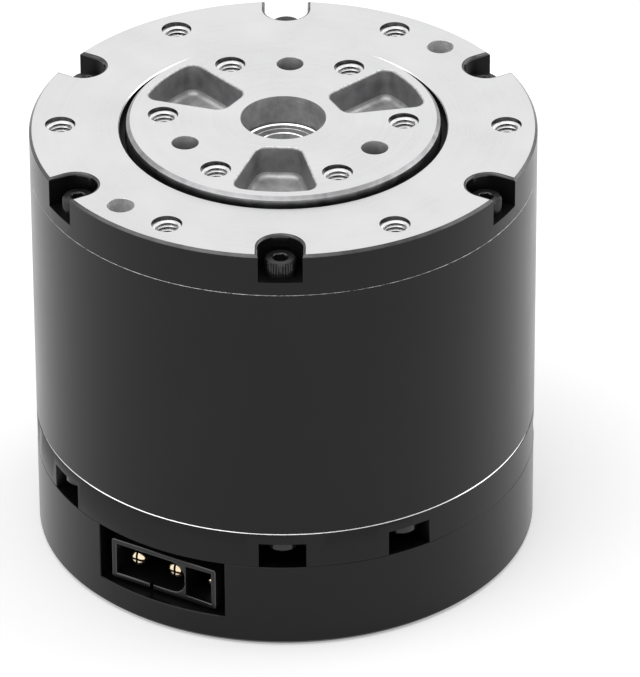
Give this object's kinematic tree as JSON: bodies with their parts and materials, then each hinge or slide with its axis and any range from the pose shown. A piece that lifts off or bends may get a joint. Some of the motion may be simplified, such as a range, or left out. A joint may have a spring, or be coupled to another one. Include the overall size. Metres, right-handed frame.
{
  "type": "robot joint actuator",
  "caption": "Round black joint actuator with a bare output flange, outrunner motor, two-stage planetary gearbox, driver board and side connector.",
  "frame": {"origin": "centre of the rear cover's flat face, on the housing axis", "axes": "+Z along the housing and output axis towards the output flange; the connector faces -Y"},
  "size_m": [0.057, 0.057, 0.052],
  "materials": {
    "black_anodised": "satin black anodised",
    "bare_aluminium": "turned face, black anodised rim on the front ring",
    "black_steel": "black oxide",
    "gear_steel": "ground",
    "bearing_steel": "polished",
    "seal_rubber": "matt",
    "stator_laminations": "varnished",
    "copper_winding": "enamelled wire",
    "rotor_steel": "turned",
    "magnet": "nickel plated",
    "circuit_board": "solder mask",
    "chip_plastic": "matt",
    "capacitor_can": "satin",
    "connector_plastic": "moulded",
    "gold_plated": "bright"
  },
  "bodies": {
    "housing": {"rear_cover": "black_anodised", "rear_housing": "black_anodised", "motor_housing": "black_anodised", "front_ring": "bare_aluminium", "front_ring_screws": "black_steel", "rear_housing_screws": "black_steel", "rear_cover_screws": "black_steel", "board_screws": "black_steel", "ring_gear": "gear_steel", "output_bearing_outer_ring": "bearing_steel", "output_seal": "seal_rubber", "stator_core": "stator_laminations", "stator_coils": "copper_winding", "phase_leads": "copper_winding", "rotor_bearing_outer_rings": "bearing_steel", "rotor_bearing_shields": "bearing_steel", "driver_board": "circuit_board", "board_chips": "chip_plastic", "board_capacitors": "capacitor_can", "encoder_chip": "chip_plastic", "connector_shell": "connector_plastic", "power_pins": "gold_plated", "signal_pins": "gold_plated"},
    "output_stage": {"output_flange": "bare_aluminium", "output_bearing_inner_ring": "bearing_steel", "stage_2_pins": "gear_steel"},
    "second_planet_1": {"stage_2_planet_1": "gear_steel"},
    "second_planet_2": {"stage_2_planet_2": "gear_steel"},
    "second_planet_3": {"stage_2_planet_3": "gear_steel"},
    "first_stage": {"stage_1_carrier": "gear_steel", "stage_1_pins": "gear_steel", "stage_2_sun": "gear_steel"},
    "first_planet_1": {"stage_1_planet_1": "gear_steel"},
    "first_planet_2": {"stage_1_planet_2": "gear_steel"},
    "first_planet_3": {"stage_1_planet_3": "gear_steel"},
    "motor_rotor": {"rotor_shaft": "gear_steel", "stage_1_sun": "gear_steel", "rotor_bell": "rotor_steel", "rotor_magnets": "magnet", "encoder_magnet": "magnet", "rotor_bearing_inner_rings": "bearing_steel"},
    "bearing_rollers": {"output_bearing_rollers": "bearing_steel"}
  },
  "joints": [
    {"name": "output_spin", "type": "hinge", "parent": "housing", "child": "output_stage", "pos_m": [0, 0, 0.052], "axis": [0, 0, 1], "continuous": true},
    {"name": "rotor_spin", "type": "hinge", "parent": "housing", "child": "motor_rotor", "pos_m": [0, 0, 0.022], "axis": [0, 0, 1], "continuous": true},
    {"name": "first_stage_spin", "type": "hinge", "parent": "housing", "child": "first_stage", "pos_m": [0, 0, 0.036], "axis": [0, 0, 1], "continuous": true},
    {"name": "roller_spin", "type": "hinge", "parent": "housing", "child": "bearing_rollers", "pos_m": [0, 0, 0.0457], "axis": [0, 0, 1], "continuous": true},
    {"name": "first_planet_1_spin", "type": "hinge", "parent": "first_stage", "child": "first_planet_1", "pos_m": [0.00587, 0.00907, 0.033], "axis": [0, 0, 1], "continuous": true},
    {"name": "second_planet_1_spin", "type": "hinge", "parent": "output_stage", "child": "second_planet_1", "pos_m": [0.00587, 0.00907, 0.0396], "axis": [0, 0, 1], "continuous": true},
    {"name": "first_planet_2_spin", "type": "hinge", "parent": "first_stage", "child": "first_planet_2", "pos_m": [-0.01079, 0.00055, 0.033], "axis": [0, 0, 1], "continuous": true},
    {"name": "second_planet_2_spin", "type": "hinge", "parent": "output_stage", "child": "second_planet_2", "pos_m": [-0.01079, 0.00055, 0.0396], "axis": [0, 0, 1], "continuous": true},
    {"name": "first_planet_3_spin", "type": "hinge", "parent": "first_stage", "child": "first_planet_3", "pos_m": [0.00492, -0.00961, 0.033], "axis": [0, 0, 1], "continuous": true},
    {"name": "second_planet_3_spin", "type": "hinge", "parent": "output_stage", "child": "second_planet_3", "pos_m": [0.00492, -0.00961, 0.0396], "axis": [0, 0, 1], "continuous": true}
  ],
  "couplings": [
    {"joint": "rotor_spin", "follows": "output_spin", "ratio": 36},
    {"joint": "first_stage_spin", "follows": "output_spin", "ratio": 6},
    {"joint": "roller_spin", "follows": "output_spin", "ratio": 0.48},
    {"joint": "first_planet_1_spin", "follows": "output_spin", "ratio": -15},
    {"joint": "second_planet_1_spin", "follows": "output_spin", "ratio": -2.5},
    {"joint": "first_planet_2_spin", "follows": "output_spin", "ratio": -15},
    {"joint": "second_planet_2_spin", "follows": "output_spin", "ratio": -2.5},
    {"joint": "first_planet_3_spin", "follows": "output_spin", "ratio": -15},
    {"joint": "second_planet_3_spin", "follows": "output_spin", "ratio": -2.5}
  ]
}
